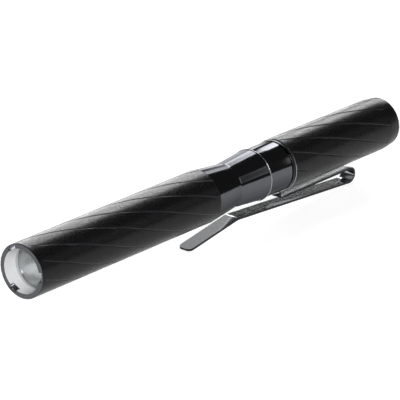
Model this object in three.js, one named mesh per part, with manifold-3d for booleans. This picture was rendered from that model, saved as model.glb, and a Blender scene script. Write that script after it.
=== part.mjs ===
// A pen-shaped inspection flashlight for two AAA cells: a notched front barrel with the lamp in it,
// a smooth waisted coupler, a tail tube with a push switch, and a spring-steel pocket clip.
// Millimetres, +Z up. The tube lies along X with its lamp towards +X, and stands on its clip at Z = 0.
// Places along the tube are given as a station: the distance from the front rim towards the tail.

import * as THREE from "three";
import { mergeVertices } from "three/addons/utils/BufferGeometryUtils.js";
import Module from "manifold-3d";

const wasm = await Module();
wasm.setup();

// Cells: the standard size that the tubes are made round
const CELL_R = 5.25;
const CELL_LENGTH = 44.5;
const CELL_NUB_R = 1.9;
const CELL_NUB = 1.0;
const CELL_EDGE = 0.5;

// Walls and fits, from the cell outwards
const CELL_CLEARANCE = 0.2;
const SPIGOT_WALL = 0.6;
const FIT = 0.15;
const TUBE_WALL = 0.8;
const NECK_WALL = 0.45;
const RIM_WIDTH = 1.35;

// Outer shape
const BARREL_LENGTH = 65.4;
const NECK_LENGTH = 9.4;
const FLARE_LENGTH = 10.4;
const LIP_INSET = 0.15;
const LIP_WIDTH = 0.5;
const COLLAR_INSET = 0.35;
const COLLAR_LENGTH = 8.1;
const TAIL_TAPER_LENGTH = 3.9;
const TAIL_TAPER = 0.45;
const TAIL_EDGE_R = 0.4;
const RIM_CHAMFER = 0.25;

// Mouth, threads and seats
const MOUTH_DEPTH = 4.0;
const SEAT = 0.05;
const SPIGOT_LENGTH = 8.0;
const THREAD_RELIEF = 1.0;

// Rim notches
const NOTCH_COUNT = 3;
const NOTCH_WIDTH = 2.4;
const NOTCH_DEPTH = 1.3;
const NOTCH_WALL = 0.5;

// Lamp
const GASKET_THICKNESS = 0.7;
const LENS_RIM = 1.4;
const LENS_DOME = 1.1;
const LENS_LAND = 0.75;
const REFLECTOR_DEPTH = 6.8;
const REFLECTOR_FLANGE = 1.0;
const REFLECTOR_WALL = 0.6;
const REFLECTOR_LAND = 0.75;
const LED_SIDE = 3.45;
const LED_BASE = 0.7;
const LED_DOME_R = 1.3;
const LED_ROOM = 0.2;
const BOARD_THICKNESS = 1.4;
const PILL_LENGTH = 9.0;
const PILL_PLATE = 2.0;
const PILL_WALL = 1.3;
const DRIVER_THICKNESS = 1.0;
const DRIVER_SEAT = 0.5;

// Contact springs
const FRONT_SPRING_LENGTH = 3.6;
const FRONT_SPRING_R = 2.0;
const FRONT_SPRING_TURNS = 3;
const TAIL_SPRING_LENGTH = 6.6;
const TAIL_SPRING_R = 2.9;
const TAIL_SPRING_TURNS = 5;
const WIRE_R = 0.28;

// Tail switch
const RETAINER_LENGTH = 2.0;
const RETAINER_CLEARANCE = 0.42;
const SPANNER_SLOT = 1.2;
const PLATE_THICKNESS = 1.0;
const SWITCH_LENGTH = 7.0;
const PLUNGER_R = 1.5;
const PLUNGER_IN = 1.2;
const PLUNGER_OUT = 3.6;
const BUTTON_R = 3.6;
const BUTTON_PROUD = 1.4;
const BUTTON_TRAVEL = 1.2;
const BUTTON_FLANGE_CLEARANCE = 0.45;
const BUTTON_FLANGE = 1.0;
const BUTTON_EDGE_R = 0.9;
const BUTTON_SEAL = 0.8;
const END_WALL = 2.4;

// Joint between coupler and tail
const SEAL_THICKNESS = 1.0;
const SEAL_WIDTH = 0.4;

// Pocket clip
const CLIP_SHEET = 0.6;
const CLIP_WIDTH = 4.2;
const CLIP_RING_INSET = 0.15;
const CLIP_RING_GAP = 0.35;
const CLIP_LEG_GAP = 1.2;
const CLIP_LEG_LENGTH = 28.55;
const CLIP_ROOT_BEND_R = 1.2;
const CLIP_BEND_R = 1.9;
const CLIP_ARM_LENGTH = 45.35;
const CLIP_ARM_RISE = THREE.MathUtils.degToRad(3.9);
const CLIP_TIP_LENGTH = 18.9;
const CLIP_TIP_CORNER = 1.2;
const CLIP_SPLIT = 0.3;

// Fineness of round shapes
const SHELL_SIDES = 40;
const INNER_SIDES = 28;
const ARC_STEPS = 6;
const COIL_STEPS = 8;
const WIRE_SIDES = 5;

// Radii, from the cell outwards
const cellBoreR = CELL_R + CELL_CLEARANCE;
const seatedR = cellBoreR + SPIGOT_WALL;
const boreR = seatedR + FIT;
const tubeR = boreR + TUBE_WALL;
const mouthR = tubeR - RIM_WIDTH;
const neckR = cellBoreR + NECK_WALL;
const lipR = tubeR - LIP_INSET;
const collarR = tubeR - COLLAR_INSET;
const lensDomeR = seatedR - LENS_LAND;
const bowlR = seatedR - REFLECTOR_LAND;
const sealOuterR = boreR + SEAL_WIDTH;
const clipRingR = tubeR - CLIP_RING_INSET;
const switchR = cellBoreR - FIT;
const retainerBoreR = TAIL_SPRING_R + WIRE_R + RETAINER_CLEARANCE;
const buttonFlangeR = cellBoreR - BUTTON_FLANGE_CLEARANCE;

// Stations along the tube, from the front rim
const neckStart = BARREL_LENGTH;
const neckEnd = neckStart + NECK_LENGTH;
const lipStart = neckEnd + FLARE_LENGTH;
const collarStart = lipStart + LIP_WIDTH;
const collarEnd = collarStart + COLLAR_LENGTH;
const clipRingStart = collarEnd + CLIP_RING_GAP;
const clipRingEnd = clipRingStart + CLIP_SHEET;
const tailStart = clipRingEnd + CLIP_RING_GAP;

const gasketStart = MOUTH_DEPTH + SEAT;
const lensStart = gasketStart + GASKET_THICKNESS + SEAT;
const reflectorStart = lensStart + LENS_RIM + SEAT;
const boardStart = reflectorStart + REFLECTOR_DEPTH + SEAT;
const pillStart = boardStart + BOARD_THICKNESS + SEAT;
const pillEnd = pillStart + PILL_LENGTH;
const driverStart = pillEnd - DRIVER_SEAT - DRIVER_THICKNESS;
const driverEnd = driverStart + DRIVER_THICKNESS;
const frontCellStart = driverEnd + SEAT + FRONT_SPRING_LENGTH + SEAT;
const rearCellStart = frontCellStart + CELL_LENGTH + SEAT;
const rearCellEnd = rearCellStart + CELL_LENGTH;
const plateStart = rearCellEnd + SEAT + TAIL_SPRING_LENGTH + SEAT;
const retainerEnd = plateStart - SEAT;
const switchStart = plateStart + PLATE_THICKNESS + SEAT;
const switchEnd = switchStart + SWITCH_LENGTH;
const flangeStart = switchEnd + PLUNGER_OUT + SEAT;
const flangeEnd = flangeStart + BUTTON_FLANGE;
const endWallStart = flangeEnd + SEAT + BUTTON_SEAL + SEAT;
const tailEnd = endWallStart + END_WALL;
const tailEndR = tubeR - TAIL_TAPER;
const buttonEnd = tailEnd + BUTTON_PROUD;

// Heights in the clip's side view, measured from the tube's axis
const legZ = -(tubeR + CLIP_LEG_GAP + CLIP_SHEET / 2);
const bendZ = legZ - CLIP_BEND_R;
const bendStation = clipRingEnd + CLIP_LEG_LENGTH;
const clipFloor = bendZ - CLIP_BEND_R;

// The frame: centred along the tube, with the clip's lowest points at Z = 0
const frontX = buttonEnd / 2;
const axisZ = CLIP_SHEET / 2 - clipFloor;

// Turns a geometry right side out if its faces point inwards.
function facingOut(geometry) {
  const position = geometry.getAttribute("position");
  const index = geometry.index.array;
  const corner = [new THREE.Vector3(), new THREE.Vector3(), new THREE.Vector3()];
  let volume = 0;
  for (let i = 0; i < index.length; i += 3) {
    corner.forEach((point, k) => point.fromBufferAttribute(position, index[i + k]));
    volume += corner[0].dot(corner[1].clone().cross(corner[2]));
  }
  if (volume < 0) index.reverse();
  return geometry;
}

// Leaves only shared vertices and drops triangles that have no area.
function welded(geometry) {
  const bare = geometry.clone();
  bare.deleteAttribute("normal");
  bare.deleteAttribute("uv");
  const merged = mergeVertices(bare, 1e-4);
  const kept = [];
  for (let i = 0; i < merged.index.count; i += 3) {
    const [a, b, c] = [0, 1, 2].map((k) => merged.index.getX(i + k));
    if (a !== b && b !== c && c !== a) kept.push(a, b, c);
  }
  merged.setIndex(kept);
  return facingOut(merged);
}

function solid(geometry) {
  const source = welded(geometry);
  const vertProperties = new Float32Array(source.getAttribute("position").array);
  const triVerts = new Uint32Array(source.index.array);
  return new wasm.Manifold(new wasm.Mesh({ numProp: 3, vertProperties, triVerts }));
}

function fromSolid(shape) {
  const mesh = shape.getMesh();
  const geometry = new THREE.BufferGeometry();
  geometry.setAttribute("position", new THREE.BufferAttribute(mesh.vertProperties, 3));
  geometry.setIndex(new THREE.BufferAttribute(mesh.triVerts, 1));
  return geometry;
}

// A turned piece on the tube's axis, from an outline of [station, radius] points.
function turned(outline, sides) {
  const points = outline.map(([station, radius]) => new THREE.Vector2(radius, frontX - station));
  const onAxis = points[0].x === 0 && points.at(-1).x === 0;
  if (!onAxis) points.push(points[0].clone());
  const geometry = new THREE.LatheGeometry(points, sides);
  geometry.rotateZ(-Math.PI / 2);
  return welded(geometry.translate(0, 0, axisZ));
}

// A plain ring or disc between two stations.
function ring(start, end, innerR, outerR, sides = INNER_SIDES) {
  return turned([[start, innerR], [start, outerR], [end, outerR], [end, innerR]], sides);
}

// Points on a quarter round in an outline, from one angle to another about a centre.
function roundEdge(station, radius, edgeR, fromAngle, toAngle) {
  return Array.from({ length: ARC_STEPS + 1 }, (_, i) => {
    const angle = THREE.MathUtils.lerp(fromAngle, toAngle, i / ARC_STEPS);
    return [station + edgeR * Math.sin(angle), radius + edgeR * Math.cos(angle)];
  });
}

function box(sizeX, sizeY, sizeZ, x, y, z) {
  return new THREE.BoxGeometry(sizeX, sizeY, sizeZ).translate(x, y, z);
}

// A coil of round wire along the tube's axis. Its least gap to itself is measured between turns.
class CoilCurve extends THREE.Curve {
  constructor(start, length, startR, endR, turns) {
    super();
    Object.assign(this, { start, length, startR, endR, turns });
  }
  getPoint(t, target = new THREE.Vector3()) {
    const angle = t * this.turns * 2 * Math.PI;
    const radius = THREE.MathUtils.lerp(this.startR, this.endR, t);
    const x = frontX - this.start - t * this.length;
    return target.set(x, radius * Math.cos(angle), axisZ + radius * Math.sin(angle));
  }
}

function coil(name, start, length, startR, endR, turns) {
  const curve = new CoilCurve(start + WIRE_R, length - 2 * WIRE_R, startR, endR, turns);
  const steps = turns * COIL_STEPS;
  const points = curve.getPoints(steps);
  let least = Infinity;
  points.forEach((a, i) => {
    points.slice(i + COIL_STEPS / 2).forEach((b) => (least = Math.min(least, a.distanceTo(b))));
  });
  console.log(`${name}: least gap between turns ${(least - 2 * WIRE_R).toFixed(2)} mm`);
  const frames = points.map((point, i) => {
    const along = points[Math.min(i + 1, steps)].clone().sub(points[Math.max(i - 1, 0)]).normalize();
    const out = new THREE.Vector3(0, point.y, point.z - axisZ).normalize();
    const side = along.clone().cross(out).normalize();
    return { point, out: side.clone().cross(along), side };
  });
  const vertices = [];
  for (const { point, out, side } of frames) {
    for (let k = 0; k < WIRE_SIDES; k++) {
      const angle = (k / WIRE_SIDES) * 2 * Math.PI;
      const spot = point.clone().addScaledVector(out, WIRE_R * Math.cos(angle));
      vertices.push(...spot.addScaledVector(side, WIRE_R * Math.sin(angle)).toArray());
    }
  }
  const index = [];
  for (let i = 0; i < steps; i++) {
    for (let k = 0; k < WIRE_SIDES; k++) {
      const a = i * WIRE_SIDES + k;
      const b = i * WIRE_SIDES + ((k + 1) % WIRE_SIDES);
      index.push(a, b, a + WIRE_SIDES, b, b + WIRE_SIDES, a + WIRE_SIDES);
    }
  }
  for (let k = 1; k < WIRE_SIDES - 1; k++) {
    const last = steps * WIRE_SIDES;
    index.push(0, k + 1, k, last, last + k, last + k + 1);
  }
  const geometry = new THREE.BufferGeometry();
  geometry.setAttribute("position", new THREE.Float32BufferAttribute(vertices, 3));
  geometry.setIndex(index);
  return facingOut(geometry);
}

// Front barrel: a tube with a narrower mouth, a bore for the lamp and cells, and notches in its rim.
function frontBarrel() {
  const tube = solid(
    turned(
      [
        [0, mouthR],
        [0, tubeR - RIM_CHAMFER],
        [RIM_CHAMFER, tubeR],
        [BARREL_LENGTH, tubeR],
        [BARREL_LENGTH, boreR],
        [MOUTH_DEPTH, boreR],
        [MOUTH_DEPTH, mouthR],
      ],
      SHELL_SIDES,
    ),
  );
  const notchInner = mouthR - THREAD_RELIEF;
  const notchReach = tubeR - NOTCH_WALL - notchInner;
  let notched = tube;
  for (let i = 0; i < NOTCH_COUNT; i++) {
    const notch = box(2 * NOTCH_DEPTH, notchReach, NOTCH_WIDTH, 0, notchInner + notchReach / 2, 0);
    notch.rotateX((i / NOTCH_COUNT) * 2 * Math.PI).translate(frontX, 0, axisZ);
    notched = notched.subtract(solid(notch));
  }
  return fromSolid(notched);
}

// Lens: a flat rim under the gasket, and a dome that stands forward through it.
function lens() {
  const dome = Array.from({ length: ARC_STEPS }, (_, i) => {
    const radius = (lensDomeR * i) / ARC_STEPS;
    const drop = LENS_DOME * (radius / lensDomeR) ** 2;
    return [lensStart - LENS_DOME + drop, radius];
  });
  const rim = [[lensStart, lensDomeR], [lensStart, seatedR], [lensStart + LENS_RIM, seatedR]];
  return turned([...dome, ...rim, [lensStart + LENS_RIM, 0]], SHELL_SIDES);
}

// Reflector: a parabolic bowl with a flange, open at its rear round the LED.
function reflector() {
  const holeR = LED_SIDE / Math.SQRT2 + LED_ROOM;
  const end = reflectorStart + REFLECTOR_DEPTH;
  const bowl = Array.from({ length: ARC_STEPS + 1 }, (_, i) => {
    const radius = THREE.MathUtils.lerp(holeR, bowlR, i / ARC_STEPS);
    const rise = (radius ** 2 - holeR ** 2) / (bowlR ** 2 - holeR ** 2);
    return [end - rise * REFLECTOR_DEPTH, radius];
  });
  const back = bowl.slice(1, -1).filter(([station]) => station > reflectorStart + REFLECTOR_FLANGE);
  const outside = back.map(([station, radius]) => [station, radius + REFLECTOR_WALL]).reverse();
  return turned(
    [
      ...bowl,
      [reflectorStart, seatedR],
      [reflectorStart + REFLECTOR_FLANGE, seatedR],
      ...outside,
      [end, holeR + REFLECTOR_WALL],
    ],
    SHELL_SIDES,
  );
}

// LED: a square package with a clear dome, on the front of its board.
function ledEmitter() {
  const back = boardStart - SEAT;
  const baseFront = back - LED_BASE;
  const base = box(LED_BASE, LED_SIDE, LED_SIDE, frontX - baseFront - LED_BASE / 2, 0, axisZ);
  const sunk = LED_BASE / 2;
  const round = roundEdge(baseFront, 0, LED_DOME_R, -Math.PI / 2, 0).slice(1);
  const tip = [baseFront - LED_DOME_R, 0];
  const dome = turned([tip, ...round, [baseFront + sunk, LED_DOME_R], [baseFront + sunk, 0]], INNER_SIDES);
  return fromSolid(solid(base).add(solid(dome)));
}

// Pill: a cup with a thick front plate, open at the rear, with a step for the driver board.
function ledPill() {
  const hollowR = seatedR - PILL_WALL;
  const stepR = hollowR + PILL_WALL / 2;
  return turned(
    [
      [pillStart, 0],
      [pillStart, seatedR],
      [pillEnd, seatedR],
      [pillEnd, stepR],
      [driverStart - SEAT, stepR],
      [driverStart - SEAT, hollowR],
      [pillStart + PILL_PLATE, hollowR],
      [pillStart + PILL_PLATE, 0],
    ],
    INNER_SIDES,
  );
}

// Driver board: a disc that fits the pill's step.
function driverBoard() {
  const boardR = seatedR - PILL_WALL / 2 - FIT;
  return turned([[driverStart, 0], [driverStart, boardR], [driverEnd, boardR], [driverEnd, 0]], INNER_SIDES);
}

// Cell: a can with eased edges and a raised contact towards the front.
function cell(start) {
  const shoulder = start + CELL_NUB;
  const end = start + CELL_LENGTH;
  return turned(
    [
      [start, 0],
      [start, CELL_NUB_R],
      [shoulder, CELL_NUB_R],
      [shoulder, CELL_R - CELL_EDGE],
      [shoulder + CELL_EDGE, CELL_R],
      [end - CELL_EDGE, CELL_R],
      [end, CELL_R - CELL_EDGE],
      [end, 0],
    ],
    INNER_SIDES,
  );
}

// Coupler: spigots into both tubes, and the tapering neck, flare and collar between them.
function waistCoupler() {
  return turned(
    [
      [neckStart - SPIGOT_LENGTH, cellBoreR],
      [neckStart - SPIGOT_LENGTH, seatedR],
      [neckStart + SEAT, seatedR],
      [neckStart + SEAT, tubeR - SEAT],
      [neckEnd, neckR],
      [lipStart, lipR],
      [collarStart, lipR],
      [collarStart, collarR],
      [collarEnd, collarR],
      [collarEnd, seatedR],
      [collarEnd + SPIGOT_LENGTH, seatedR],
      [collarEnd + SPIGOT_LENGTH, cellBoreR],
    ],
    SHELL_SIDES,
  );
}

// Tail: a mouth for the seal and the coupler's spigot, a bore for cell and switch, and a tapered end wall.
function tailTube() {
  const threadEnd = collarEnd + SPIGOT_LENGTH + THREAD_RELIEF;
  return turned(
    [
      [tailStart, sealOuterR + FIT],
      [tailStart, tubeR - RIM_CHAMFER],
      [tailStart + RIM_CHAMFER, tubeR],
      [tailEnd - TAIL_TAPER_LENGTH, tubeR],
      ...roundEdge(tailEnd - TAIL_EDGE_R, tailEndR - TAIL_EDGE_R, TAIL_EDGE_R, 0, Math.PI / 2),
      [tailEnd, BUTTON_R + FIT],
      [endWallStart, BUTTON_R + FIT],
      [endWallStart, cellBoreR],
      [threadEnd, cellBoreR],
      [threadEnd, boreR],
      [tailStart + SEAL_THICKNESS + SEAT, boreR],
      [tailStart + SEAL_THICKNESS + SEAT, sealOuterR + FIT],
    ],
    SHELL_SIDES,
  );
}

// Retaining ring: threaded into the tail's bore, with a slot across its face for a spanner.
function switchRetainingRing() {
  const start = retainerEnd - RETAINER_LENGTH;
  const body = solid(ring(start, retainerEnd, retainerBoreR, switchR));
  const slot = box(SPANNER_SLOT, 3 * switchR, SPANNER_SLOT, frontX - start, 0, axisZ);
  return fromSolid(body.subtract(solid(slot)));
}

// Switch: a housing with a blind hole at the rear for its plunger.
function switchBody() {
  const holeR = PLUNGER_R + FIT;
  const holeStart = switchEnd - PLUNGER_IN - BUTTON_TRAVEL - SEAT;
  return turned(
    [
      [switchStart, 0],
      [switchStart, switchR],
      [switchEnd, switchR],
      [switchEnd, holeR],
      [holeStart, holeR],
      [holeStart, 0],
    ],
    INNER_SIDES,
  );
}

// Plunger: a pin that reaches from inside the switch to the button's flange.
function switchPlunger() {
  const start = switchEnd - PLUNGER_IN;
  const end = switchEnd + PLUNGER_OUT;
  return turned([[start, 0], [start, PLUNGER_R], [end, PLUNGER_R], [end, 0]], INNER_SIDES);
}

// Button: a flange held inside the end wall, and a stem with a rounded edge that stands out of it.
function tailButton() {
  const edge = roundEdge(
    buttonEnd - BUTTON_EDGE_R,
    BUTTON_R - BUTTON_EDGE_R,
    BUTTON_EDGE_R,
    0,
    Math.PI / 2,
  );
  return turned(
    [
      [flangeStart, 0],
      [flangeStart, buttonFlangeR],
      [flangeEnd, buttonFlangeR],
      [flangeEnd, BUTTON_R],
      ...edge,
      [buttonEnd, 0],
    ],
    INNER_SIDES,
  );
}

// A bent strip of the clip's sheet, from the middle line of its side view as [station, height] points.
function strip(line) {
  const points = line.map(([station, height]) => new THREE.Vector2(frontX - station, axisZ + height));
  const offset = (side) =>
    points.map((point, i) => {
      const before = point.clone().sub(points[Math.max(i - 1, 0)]).normalize();
      const after = points[Math.min(i + 1, points.length - 1)].clone().sub(point).normalize();
      const along = before.clone().add(after).normalize();
      const reach = (CLIP_SHEET / 2) / Math.max(along.dot(after), along.dot(before));
      return new THREE.Vector2(-along.y, along.x).multiplyScalar(side * reach).add(point);
    });
  const outline = new THREE.Shape([...offset(1), ...offset(-1).reverse()]);
  const geometry = new THREE.ExtrudeGeometry(outline, { depth: CLIP_WIDTH, bevelEnabled: false });
  return welded(geometry.rotateX(Math.PI / 2).translate(0, CLIP_WIDTH / 2, 0));
}

// Points along a bend of the clip, by turning from one angle to another about a centre.
function bendLine(station, height, radius, fromAngle, toAngle, steps) {
  return Array.from({ length: steps + 1 }, (_, i) => {
    const angle = THREE.MathUtils.lerp(fromAngle, toAngle, i / steps);
    return [station + radius * Math.cos(angle), height + radius * Math.sin(angle)];
  });
}

// Clip base: the ring clamped at the joint, the leg along the tail and the bend behind it.
function clipBase() {
  const ringMiddle = (clipRingStart + clipRingEnd) / 2;
  const rootBend = bendLine(
    ringMiddle + CLIP_ROOT_BEND_R,
    legZ + CLIP_ROOT_BEND_R,
    CLIP_ROOT_BEND_R,
    Math.PI,
    1.5 * Math.PI,
    ARC_STEPS / 2,
  );
  const bend = bendLine(bendStation, bendZ, CLIP_BEND_R, Math.PI / 2, -Math.PI / 2, 2 * ARC_STEPS);
  const ringR = (clipRingR + seatedR + FIT) / 2;
  const sheet = solid(strip([[ringMiddle, -ringR], ...rootBend, ...bend]));
  const clampRing = solid(ring(clipRingStart, clipRingEnd, seatedR + FIT, clipRingR, SHELL_SIDES));
  return fromSolid(clampRing.add(sheet));
}

// Clip arm: rises from the bend towards the tube, then folds down to a flared tip with round corners.
function clipArm() {
  const start = [bendStation - CLIP_SPLIT, clipFloor];
  const fold = [
    start[0] - CLIP_ARM_LENGTH * Math.cos(CLIP_ARM_RISE),
    start[1] + CLIP_ARM_LENGTH * Math.sin(CLIP_ARM_RISE),
  ];
  const tipFall = Math.asin((fold[1] - clipFloor) / CLIP_TIP_LENGTH);
  const tip = [fold[0] - CLIP_TIP_LENGTH * Math.cos(tipFall), clipFloor];
  const plan = new THREE.Shape();
  const front = frontX - tip[0];
  const rear = frontX - start[0] - CLIP_SHEET;
  const half = CLIP_WIDTH / 2;
  const corner = CLIP_TIP_CORNER;
  plan.moveTo(rear, -half);
  plan.lineTo(front - corner, -half);
  plan.absarc(front - corner, corner - half, corner, -Math.PI / 2, 0, false);
  plan.absarc(front - corner, half - corner, corner, 0, Math.PI / 2, false);
  plan.lineTo(rear, half);
  const options = { depth: axisZ, bevelEnabled: false, curveSegments: ARC_STEPS };
  const planBlock = new THREE.ExtrudeGeometry(plan, options).translate(0, 0, -CLIP_SHEET);
  return fromSolid(solid(strip([start, fold, tip])).intersect(solid(planBlock)));
}

const BLACK_ANODISED = { color: 0x17181a, roughness: 0.35, metalness: 0.6 };
const POLISHED_BLACK = { color: 0x1c1d20, roughness: 0.12, metalness: 0.9 };
const SPRING_STEEL = { color: 0xa4a6a8, roughness: 0.25, metalness: 1.0 };
const BRASS = { color: 0xb99a4d, roughness: 0.35, metalness: 1.0 };
const BRIGHT = { color: 0xdcdedf, roughness: 0.1, metalness: 1.0 };
const CLEAR = { color: 0xe8eef0, roughness: 0.05, metalness: 0.0 };
const BOARD = { color: 0xe6e6e0, roughness: 0.6, metalness: 0.0 };
const BLACK_RUBBER = { color: 0x1b1b1b, roughness: 0.8, metalness: 0.0 };
const PALE_SILICONE = { color: 0xbfc2c2, roughness: 0.6, metalness: 0.0 };
const BLACK_PLASTIC = { color: 0x202022, roughness: 0.5, metalness: 0.0 };
const CELL_JACKET = { color: 0x5d6266, roughness: 0.4, metalness: 0.3 };

const flashlight = new THREE.Group();

function add(name, geometry, finish) {
  const mesh = new THREE.Mesh(geometry, new THREE.MeshStandardMaterial(finish));
  mesh.geometry.computeVertexNormals();
  mesh.name = name;
  flashlight.add(mesh);
}

add("front_barrel", frontBarrel(), BLACK_ANODISED);
add(
  "lens_gasket",
  ring(gasketStart, gasketStart + GASKET_THICKNESS, mouthR, seatedR, SHELL_SIDES),
  PALE_SILICONE,
);
add("lens", lens(), CLEAR);
add("reflector", reflector(), BRIGHT);
add("led_emitter", ledEmitter(), CLEAR);
add(
  "led_board",
  turned(
    [
      [boardStart, 0],
      [boardStart, seatedR],
      [boardStart + BOARD_THICKNESS, seatedR],
      [boardStart + BOARD_THICKNESS, 0],
    ],
    INNER_SIDES,
  ),
  BOARD,
);
add("led_pill", ledPill(), BRASS);
add("driver_board", driverBoard(), BOARD);
add(
  "front_contact_spring",
  coil(
    "front_contact_spring",
    driverEnd + SEAT,
    FRONT_SPRING_LENGTH,
    FRONT_SPRING_R,
    CELL_NUB_R / 2,
    FRONT_SPRING_TURNS,
  ),
  BRIGHT,
);
add(
  "battery_liner",
  ring(pillEnd + SEAT, neckStart - SPIGOT_LENGTH - SEAT, cellBoreR, seatedR),
  BLACK_PLASTIC,
);
add("front_cell", cell(frontCellStart), CELL_JACKET);
add("rear_cell", cell(rearCellStart), CELL_JACKET);
add("waist_coupler", waistCoupler(), POLISHED_BLACK);
add("clip_base", clipBase(), SPRING_STEEL);
add("clip_arm", clipArm(), SPRING_STEEL);
add(
  "tail_seal_ring",
  ring(tailStart, tailStart + SEAL_THICKNESS, boreR, sealOuterR, SHELL_SIDES),
  BLACK_RUBBER,
);
add("tail_tube", tailTube(), BLACK_ANODISED);
add(
  "tail_spring",
  coil(
    "tail_spring",
    rearCellEnd + SEAT,
    TAIL_SPRING_LENGTH,
    TAIL_SPRING_R - WIRE_R,
    TAIL_SPRING_R,
    TAIL_SPRING_TURNS,
  ),
  BRIGHT,
);
add("switch_retaining_ring", switchRetainingRing(), BRASS);
add(
  "spring_plate",
  turned(
    [
      [plateStart, 0],
      [plateStart, switchR],
      [plateStart + PLATE_THICKNESS, switchR],
      [plateStart + PLATE_THICKNESS, 0],
    ],
    INNER_SIDES,
  ),
  BOARD,
);
add("switch_body", switchBody(), BLACK_PLASTIC);
add("switch_plunger", switchPlunger(), BOARD);
add(
  "button_seal",
  ring(flangeEnd + SEAT, flangeEnd + SEAT + BUTTON_SEAL, BUTTON_R + FIT, buttonFlangeR),
  BLACK_RUBBER,
);
add("tail_button", tailButton(), BLACK_ANODISED);

export default flashlight;
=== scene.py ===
import math

import bmesh
import bpy
from mathutils import Matrix, Vector


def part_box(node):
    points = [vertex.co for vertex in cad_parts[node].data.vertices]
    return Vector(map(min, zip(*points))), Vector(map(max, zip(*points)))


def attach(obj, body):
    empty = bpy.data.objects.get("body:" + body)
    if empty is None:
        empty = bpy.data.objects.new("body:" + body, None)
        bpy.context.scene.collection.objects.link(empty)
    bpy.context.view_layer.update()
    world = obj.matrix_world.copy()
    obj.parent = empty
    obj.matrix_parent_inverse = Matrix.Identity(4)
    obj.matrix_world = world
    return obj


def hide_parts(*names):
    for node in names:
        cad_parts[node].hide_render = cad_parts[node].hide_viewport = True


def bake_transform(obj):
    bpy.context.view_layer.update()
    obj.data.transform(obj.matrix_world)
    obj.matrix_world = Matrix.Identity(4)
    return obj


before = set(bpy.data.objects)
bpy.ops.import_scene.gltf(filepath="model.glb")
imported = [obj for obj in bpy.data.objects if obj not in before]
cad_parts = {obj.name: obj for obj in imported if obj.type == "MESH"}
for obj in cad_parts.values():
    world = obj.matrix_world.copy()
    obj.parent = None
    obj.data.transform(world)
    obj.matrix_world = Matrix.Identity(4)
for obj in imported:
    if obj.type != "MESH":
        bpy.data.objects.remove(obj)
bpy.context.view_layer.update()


# Front barrel: an aluminium tube, turned, engraved with nine slanting lines and anodised black.
# Its mouth is bored back to bright metal and three slots are milled in its rim's inner edge for a spanner.
# It screws over the coupler's front spigot and clamps the lamp between its inner step and the coupler.
MM = 0.001
FRONT_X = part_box("front_barrel")[1].x / MM
AXIS_Z = sum(corner.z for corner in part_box("front_barrel")) / 2 / MM
TUBE_R = 7.0
BORE_R = 6.2
MOUTH_R = 5.65
MOUTH_DEPTH = 4.0
BARREL_LENGTH = 65.4
RIM_SLOT_DEPTH = 1.3
RIM_SLOT_R = 6.5
RIM_SLOT_HALF_ANGLE = 11
RIM_SLOT_ANGLES = (0, 120, 240)
RIM_EASE = 0.16
TUBE_SIDES = 180
NEAR = 0.01
SHARP_ANGLE = math.radians(14)
LINE_COUNT = 9
LINE_DEPTH = 0.15
LINE_RUN = 0.6
LINE_TWIST = math.radians(-2.83)
BARREL_LINE_ANGLE = 33
WALL_STEP = 1.0
ANODISED_BLACK = "#0c0c0d"
ANODISED_GREY = "#151517"
# Painted highlight: the engraved lines are coloured paler than the wall.
LINE_GREY_PAINTED_GLINT = "#1e1f21"
BARE_ALUMINIUM = "#efeff0"
POLISHED_BLACK = "#595a5d"
POLISHED_EDGE = "#aaaaaa"
MILLED_ALUMINIUM = "#9c9da0"
GRAIN_DEPTH = 0.02
GRAIN_SPREAD = (0.3, 0.7)


def linear(colour):
    """An sRGB hex colour as linear RGBA."""
    parts = [int(colour[i:i + 2], 16) / 255 for i in (1, 3, 5)]
    return [p / 12.92 if p <= 0.04045 else ((p + 0.055) / 1.055) ** 2.4 for p in parts] + [1.0]


def new_material(name):
    """An empty node material."""
    material = bpy.data.materials.new(name)
    material.use_nodes = True
    material.node_tree.nodes.clear()
    return material


def node(material, kind, inputs, **settings):
    """Adds a node with its settings; each input is a value, or an output to link."""
    tree = material.node_tree
    made = tree.nodes.new("ShaderNode" + kind)
    for name, value in settings.items():
        setattr(made, name, value)
    for name, value in inputs.items():
        if isinstance(value, bpy.types.NodeSocket):
            tree.links.new(value, made.inputs[name])
        else:
            made.inputs[name].default_value = value
    return made


def finish(name, shades, grain, gloss, stretch=(1, 1, 1), detail=4.0, relief=0.0, **shader):
    """A material of one or two shades, rougher and smoother by turns in a grain of a size in millimetres."""
    material = new_material(name)
    place = node(material, "TexCoord", {}).outputs["Object"]
    place = node(material, "Mapping", {"Vector": place, "Scale": stretch}).outputs["Vector"]
    pattern = node(
        material, "TexNoise", {"Vector": place, "Scale": 1 / (grain * MM), "Detail": detail}
    ).outputs["Fac"]
    shader["Base Color"] = linear(shades[0])
    if len(shades) > 1:
        shader["Base Color"] = node(
            material, "Mix", {0: pattern, 6: linear(shades[0]), 7: linear(shades[1])}, data_type="RGBA"
        ).outputs[2]
    shader["Roughness"] = node(
        material, "MapRange",
        {
            "Value": pattern, "From Min": GRAIN_SPREAD[0], "From Max": GRAIN_SPREAD[1],
            "To Min": gloss[0], "To Max": gloss[1],
        },
    ).outputs["Result"]
    if relief:
        shader["Normal"] = node(
            material, "Bump", {"Height": pattern, "Strength": relief, "Distance": GRAIN_DEPTH * MM}
        ).outputs["Normal"]
    surface = node(material, "BsdfPrincipled", shader).outputs["BSDF"]
    node(material, "OutputMaterial", {"Surface": surface})
    return material


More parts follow.
